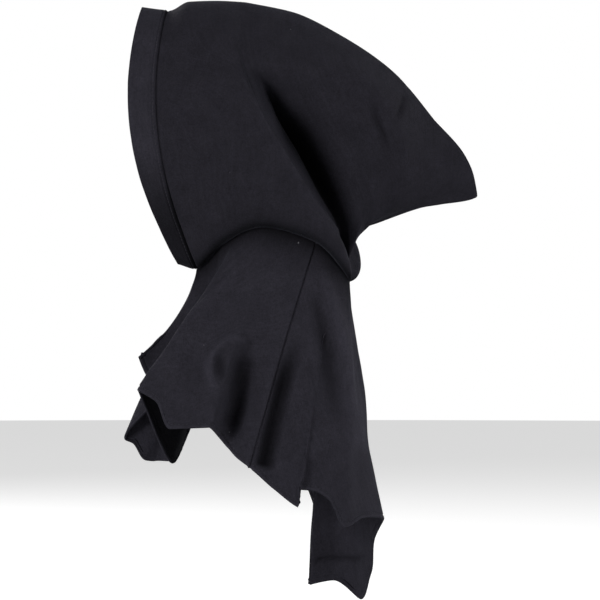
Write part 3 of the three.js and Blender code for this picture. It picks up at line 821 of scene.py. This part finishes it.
class Nodes:
    """Short calls for building a material's nodes"""

    def __init__(self, material):
        material.use_nodes = True
        self.tree = material.node_tree
        self.shader = self.tree.nodes["Principled BSDF"]

    def add(self, kind, inputs=None, **settings):
        node = self.tree.nodes.new(kind)
        for name, value in settings.items():
            setattr(node, name, value)
        for name, value in (inputs or {}).items():
            if isinstance(value, bpy.types.NodeSocket):
                self.tree.links.new(value, node.inputs[name])
            else:
                node.inputs[name].default_value = value
        return node

    def math(self, operation, a, b):
        return self.add("ShaderNodeMath", {0: a, 1: b}, operation=operation).outputs[0]

    def noise(self, place, scale, detail, roughness=0.6):
        inputs = {"Vector": place, "Scale": scale, "Detail": detail, "Roughness": roughness}
        return self.add("ShaderNodeTexNoise", inputs).outputs["Fac"]

    def stretched(self, place, scale):
        return self.add("ShaderNodeMapping", {"Vector": place, "Scale": scale}).outputs["Vector"]

    def threads(self, place, direction):
        # A wave texture repeats 10 / pi times its scale in each metre
        inputs = {"Vector": place, "Scale": THREADS_PER_METRE * math.pi / 10,
                  "Distortion": 1.5, "Detail": 2, "Detail Scale": 2}
        return self.add("ShaderNodeTexWave", inputs, bands_direction=direction).outputs["Fac"]

    def spread(self, value, low, high, to_low, to_high):
        inputs = {"Value": value, "From Min": low, "From Max": high, "To Min": to_low, "To Max": to_high}
        return self.add("ShaderNodeMapRange", inputs).outputs["Result"]

    def around_one(self, value, swing, low=NOISE_LOW, high=NOISE_HIGH):
        return self.spread(value, low, high, 1 - swing, 1 + swing)

    def scaled(self, colour, tone):
        return self.add("ShaderNodeVectorMath", {0: colour, 3: tone}, operation="SCALE").outputs[0]

    def mix(self, share, a, b):
        node = self.add("ShaderNodeMix", {0: share, 6: a, 7: b}, data_type="RGBA")
        return node.outputs[2]

    def link(self, value, name):
        self.tree.links.new(value, self.shader.inputs[name])


def lint(n, cloth):
    """Where specks of lint lie on the cloth"""
    cells = n.add("ShaderNodeTexVoronoi", {"Vector": cloth, "Scale": LINT_CELLS_PER_METRE, "Randomness": 1})
    dot = n.math("LESS_THAN", cells.outputs["Distance"], LINT_RADIUS * LINT_CELLS_PER_METRE)
    rare = n.add("ShaderNodeSeparateColor", {"Color": cells.outputs["Color"]}).outputs["Red"]
    return n.math("MULTIPLY", dot, n.math("GREATER_THAN", rare, 1 - LINT_SHARE))


def wool_material():
    """Fulled black wool: a faint weave under a matted fuzz, a mottled nap and a few specks of lint, darkened
    by painted shade and lightened by painted highlight from the mesh's attribute
    """
    material = bpy.data.materials.new("black_wool")
    n = Nodes(material)
    solid = n.add("ShaderNodeTexCoord").outputs["Object"]
    cloth = n.add("ShaderNodeUVMap", uv_map="cloth").outputs["UV"]
    fuzz = n.noise(solid, FUZZ_PER_METRE, 5, 0.75)
    clumps = n.noise(solid, CLUMPS_PER_METRE, 4, 0.6)
    patches = n.noise(solid, PATCHES_PER_METRE, 3, 0.5)
    nap = n.noise(n.stretched(cloth, (NAP_PER_METRE, NAP_PER_METRE * NAP_STRETCH, 1)), 1, 3, 0.6)
    weave = n.math("MULTIPLY", n.threads(cloth, "X"), n.threads(cloth, "Y"))
    tone = n.math("MULTIPLY", n.around_one(fuzz, FUZZ_SWING), n.around_one(clumps, CLUMP_SWING))
    tone = n.math("MULTIPLY", tone, n.around_one(patches, PATCH_SWING))
    tone = n.math("MULTIPLY", tone, n.around_one(nap, NAP_SWING))
    tone = n.math("MULTIPLY", tone, n.around_one(weave, WEAVE_SWING, 0, 1))
    # The attribute darkens the wool with painted shade and lightens it with painted highlight; the seams'
    # darker tone rides on it too
    painted_light_and_seams = n.add("ShaderNodeAttribute", attribute_name="painted_light_and_seams").outputs["Fac"]
    tone = n.math("MULTIPLY", tone, n.spread(painted_light_and_seams, *PAINTED_LIGHT_SPAN, *PAINTED_LIGHT_TONES))
    speck = n.math("MULTIPLY", lint(n, cloth), LINT_STRENGTH)
    colour = n.mix(speck, n.scaled(WOOL_COLOUR, tone), LINT_COLOUR)
    n.link(colour, "Base Color")
    n.link(n.spread(clumps, NOISE_LOW, NOISE_HIGH, *WOOL_ROUGHNESS), "Roughness")
    height = n.math("ADD", n.math("MULTIPLY", fuzz, 0.6), n.math("MULTIPLY", clumps, 0.9))
    height = n.math("ADD", height, n.math("MULTIPLY", weave, 0.12))
    bump = n.add("ShaderNodeBump", {"Height": height, "Strength": 0.8, "Distance": BUMP_HEIGHT})
    n.link(bump.outputs["Normal"], "Normal")
    n.shader.inputs["Specular IOR Level"].default_value = 0.05
    n.shader.inputs["Sheen Weight"].default_value = 0.03
    n.shader.inputs["Sheen Roughness"].default_value = 0.45
    n.shader.inputs["Sheen Tint"].default_value = (0.75, 0.78, 1.0, 1)
    return material


def thread_material():
    """Black waxed linen thread, a little smoother than the wool"""
    material = bpy.data.materials.new("black_thread")
    n = Nodes(material)
    solid = n.add("ShaderNodeTexCoord").outputs["Object"]
    twist = n.noise(solid, FUZZ_PER_METRE, 2)
    n.link(n.scaled(THREAD_COLOUR, n.around_one(twist, TWIST_SWING)), "Base Color")
    n.shader.inputs["Roughness"].default_value = 0.7
    n.shader.inputs["Specular IOR Level"].default_value = 0.15
    return material


def make_camera():
    """A level camera, square to the hood's left side"""
    data = bpy.data.cameras.new("camera")
    data.sensor_width = SENSOR
    data.lens = SENSOR * VIEW_DISTANCE / VIEW_WIDTH
    camera = bpy.data.objects.new("camera", data)
    camera.location = (VIEW_DISTANCE, *VIEW_MIDDLE)
    camera.rotation_euler = (math.pi / 2, 0, math.pi / 2)
    bpy.context.scene.collection.objects.link(camera)
    bpy.context.scene.camera = camera


def make_room():
    """A white room for the camera, which lights the hood more from above than from below"""
    world = bpy.data.worlds.new("white_room")
    world.use_nodes = True
    tree = world.node_tree
    back = tree.nodes["Background"]
    place = tree.nodes.new("ShaderNodeTexCoord")
    parts = tree.nodes.new("ShaderNodeSeparateXYZ")
    spread = tree.nodes.new("ShaderNodeMapRange")
    seen = tree.nodes.new("ShaderNodeLightPath")
    most = tree.nodes.new("ShaderNodeMath")
    most.operation = "MAXIMUM"
    tree.links.new(place.outputs["Generated"], parts.inputs[0])
    tree.links.new(parts.outputs["Z"], spread.inputs["Value"])
    for name, value in (("From Min", -1), ("From Max", 1), ("To Min", DOME_BELOW), ("To Max", DOME_ABOVE)):
        spread.inputs[name].default_value = value
    tree.links.new(spread.outputs["Result"], most.inputs[0])
    tree.links.new(seen.outputs["Is Camera Ray"], most.inputs[1])
    tree.links.new(most.outputs[0], back.inputs["Strength"])
    back.inputs["Color"].default_value = (1, 1, 1, 1)
    bpy.context.scene.world = world
    bpy.context.scene.view_settings.view_transform = "Standard"


def make_floor():
    """A pale round floor some way below the hood"""
    mesh = bpy.data.meshes.new("floor")
    turns = [2 * math.pi * k / FLOOR_SIDES for k in range(FLOOR_SIDES)]
    z = cad_low.z - FLOOR_DROP
    ring = [(FLOOR_RADIUS * math.cos(turn), FLOOR_RADIUS * math.sin(turn), z) for turn in turns]
    mesh.from_pydata(ring, [], [range(FLOOR_SIDES)])
    floor = bpy.data.objects.new("floor", mesh)
    bpy.context.scene.collection.objects.link(floor)
    paint = bpy.data.materials.new("pale_floor")
    n = Nodes(paint)
    n.shader.inputs["Base Color"].default_value = (FLOOR_GREY, FLOOR_GREY, FLOOR_GREY, 1)
    n.shader.inputs["Roughness"].default_value = 0.8
    n.shader.inputs["Emission Color"].default_value = (1, 1, 1, 1)
    seen = n.add("ShaderNodeLightPath").outputs["Is Camera Ray"]
    n.link(n.math("MULTIPLY", seen, FLOOR_GLOW), "Emission Strength")
    mesh.materials.append(paint)


def make_lamps():
    for name, (spot, size, power) in LAMPS.items():
        data = bpy.data.lights.new(name, "AREA")
        data.shape = "DISK"
        data.size = size
        data.energy = power
        lamp = bpy.data.objects.new(name, data)
        lamp.location = spot
        lamp.rotation_euler = (LAMP_TARGET - Vector(spot)).to_track_quat("-Z", "Y").to_euler()
        bpy.context.scene.collection.objects.link(lamp)


def dress(made, node, wool, thread=None):
    """Places a wall of cloth over its node, stitched if there is a thread"""
    mesh, line, normals = made
    mesh.materials.append(wool)
    piece = place(mesh, node)
    if thread:
        row = stitches(f"{node}_stitches", line, normals)
        row.materials.append(thread)
        place(row)


def make_hood(wool, thread):
    """The bands, the side panels and the cape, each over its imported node"""
    left = side_panel(0)
    right = side_panel(NAPE_SHIFT)
    for side, panel in (("left", left), ("right", right)):
        walls = panel_walls(panel, side)
        dress(walls["face_band"], f"face_band_{side}", wool, thread)
        dress(walls["hood"], f"hood_{side}", wool)
    cape = cape_surface(whole_neck(half_neck(left), half_neck(right)))
    left_seam = cape.knots["left_seam"]
    right_seam = cape.knots["right_seam"]
    front = cape_wall("cape_front_cloth", cape, right_seam - cape.length, left_seam, SEAM_LAP)
    dress(front, "cape_front", wool, thread)
    back = cape_wall("cape_back_cloth", cape, left_seam, right_seam, -SEAM_GAP)
    dress(back, "cape_back", wool, thread)


make_camera()
make_room()
make_floor()
make_lamps()
make_hood(wool_material(), thread_material())

bpy.context.view_layer.update()
